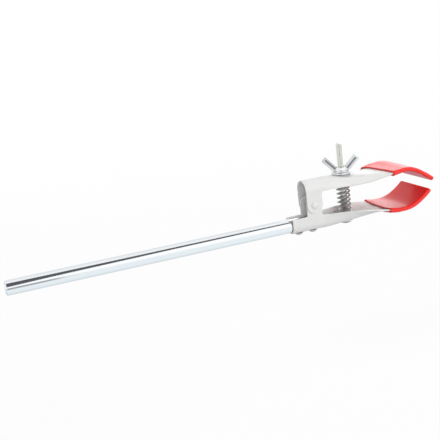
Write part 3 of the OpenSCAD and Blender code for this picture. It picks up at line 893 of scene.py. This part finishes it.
def buildFloor():
    s, look = floorLook["size"], floorLook
    mesh = bpy.data.meshes.new("floor")
    mesh.from_pydata([(-s, -s, 0), (s, -s, 0), (s, s, 0), (-s, s, 0)], [], [[0, 1, 2, 3]])
    floor = bpy.data.objects.new("floor", mesh)
    floor.location.z = look["height"]
    bpy.context.scene.collection.objects.link(floor)
    f = Finish("floor", look["fixed"])
    seen, mirror = f.rays()
    f.feed(f.shader, {"Base Color": f.mixed(seen, look["lit"], look["seen"])})
    where = f.where()
    depth = f.band(f.part(where, "Y"), look["nearEnd"], look["farStart"])
    tint = f.mixed(depth, look["mirrorNear"], look["mirrorFar"])
    glow = f.node("ShaderNodeEmission", {}, {"Color": f.mixed(mirror, white, tint), "Strength": 1.0})
    lit = Value(f, f.shader.outputs[0])
    both = f.node("ShaderNodeMixShader", {}, {0: seen * (1 - look["shadow"]), 1: lit, 2: glow})
    far = f.node("ShaderNodeVectorMath", {"operation": "LENGTH"}, {0: where}, "Value")
    clear = f.node("ShaderNodeBsdfTransparent", {}, {})
    fading = f.node("ShaderNodeMixShader", {}, {
        0: f.band(far, look["fadeFrom"], look["fadeTo"]), 1: both, 2: clear})
    f.feed(f.tree.nodes["Material Output"], {"Surface": fading})
    mesh.materials.append(f.material)


worldLook = {"ambient": 0.34, "mirrorBack": (0.82, 0.86, 0.89, 1), "backFrom": 0.2, "backTo": 0.9}


def buildWorld():
    world = bpy.data.worlds.new("studio")
    bpy.context.scene.world = world
    world.use_nodes = True
    w, n = worldLook, Nodes(world.node_tree)
    seen, mirror = n.rays()
    back = n.band(n.part(n.where("Generated"), "Y"), w["backFrom"], w["backTo"])
    n.feed(n.tree.nodes["Background"], {
        "Color": n.mixed(back * mirror, white, w["mirrorBack"]),
        "Strength": seen * (1 - w["ambient"]) + w["ambient"]})


# cards that only mirrors see: two dark lines and a white band along the plated metal
cardLook = {
    "overheadCard": {"tone": (0.10, 0.105, 0.11, 1), "corners": [
        (-0.30, -0.03, 0.30), (-0.30, -0.80, 0.30), (-0.19, -0.56, 0.30), (-0.15, -0.44, 0.30),
        (-0.085, -0.34, 0.30), (0.007, -0.25, 0.30), (0.095, -0.20, 0.30), (0.25, -0.16, 0.30),
        (0.25, -0.06, 0.30), (-0.085, -0.06, 0.30)]},
    "frontCard": {"tone": (0.40, 0.40, 0.41, 1), "corners": [
        (-0.45, -0.25, -0.085), (-0.14, -0.25, -0.085), (-0.11, -0.62, 0.055), (-0.45, -0.62, 0.055)]},
    "whiteCard": {"tone": (1.13, 1.13, 1.13, 1), "corners": [
        (-0.9, -0.95, 0.07), (0.9, -0.95, 0.07), (0.9, -0.95, 1.15), (-0.9, -0.95, 1.15)]}}


def buildCard(name, look):
    mesh = bpy.data.meshes.new(name)
    mesh.from_pydata(look["corners"], [], [list(range(len(look["corners"])))])
    card = bpy.data.objects.new(name, mesh)
    bpy.context.scene.collection.objects.link(card)
    f = Finish(name, {"Base Color": (0, 0, 0, 1), "Roughness": 0.9, "Specular IOR Level": 0.0,
                      "Emission Color": look["tone"], "Emission Strength": 1.0})
    mesh.materials.append(f.material)
    card.visible_camera = card.visible_diffuse = card.visible_shadow = card.visible_transmission = False


# soft lamps, in metres and watts; only a mirrored one shows in the metal
lampLook = {
    "keyLamp": {"place": (0.10, -0.93, 0.22), "target": (0.02, 0, 0.01), "size": (1.2, 0.45),
                "power": 6.6, "mirrored": False},
    "topLamp": {"place": (0.05, 0.10, 0.90), "target": (0.02, 0, 0.01), "size": (0.9, 0.6),
                "power": 3.7, "mirrored": False},
    "backLamp": {"place": (0.0, 0.90, 0.35), "target": (0.02, 0, 0.01), "size": (0.9, 0.6),
                 "power": 1.8, "mirrored": False},
    "sheenLamp": {"place": (0.67, 0.69, 0.30), "target": (0.09, 0, 0.02), "size": (0.5, 0.65),
                  "power": 1.2, "mirrored": True}}


def buildLamp(name, look):
    lamp = bpy.data.lights.new(name, "AREA")
    lamp.shape, lamp.energy = "RECTANGLE", look["power"]
    lamp.size, lamp.size_y = look["size"]
    thing = bpy.data.objects.new(name, lamp)
    thing.location = look["place"]
    aim = Vector(look["target"]) - Vector(look["place"])
    thing.rotation_euler = aim.to_track_quat("-Z", "Y").to_euler()
    thing.visible_camera, thing.visible_glossy = False, look["mirrored"]
    bpy.context.scene.collection.objects.link(thing)


# camera found from the photograph: place and axes in the frame, in metres
cameraView = {"place": (-0.2130, -0.5089, 0.1509), "right": (0.935, -0.331, -0.125),
              "up": (0.197, 0.194, 0.961), "lens": 65.45, "sensor": 36}


def buildCamera():
    right = Vector(cameraView["right"]).normalized()
    forward = Vector(cameraView["up"]).cross(right).normalized()
    up = right.cross(forward)
    data = bpy.data.cameras.new("camera")
    data.lens, data.sensor_width = cameraView["lens"], cameraView["sensor"]
    camera = bpy.data.objects.new("camera", data)
    turn = Matrix((right, up, -forward)).transposed().to_4x4()
    camera.matrix_world = Matrix.Translation(cameraView["place"]) @ turn
    bpy.context.scene.collection.objects.link(camera)
    bpy.context.scene.camera = camera


buildFloor()
buildWorld()
for cardName, card in cardLook.items():
    buildCard(cardName, card)
for lampName, lamp in lampLook.items():
    buildLamp(lampName, lamp)
buildCamera()
bpy.context.scene.view_settings.view_transform = "Standard"
print("stage made")
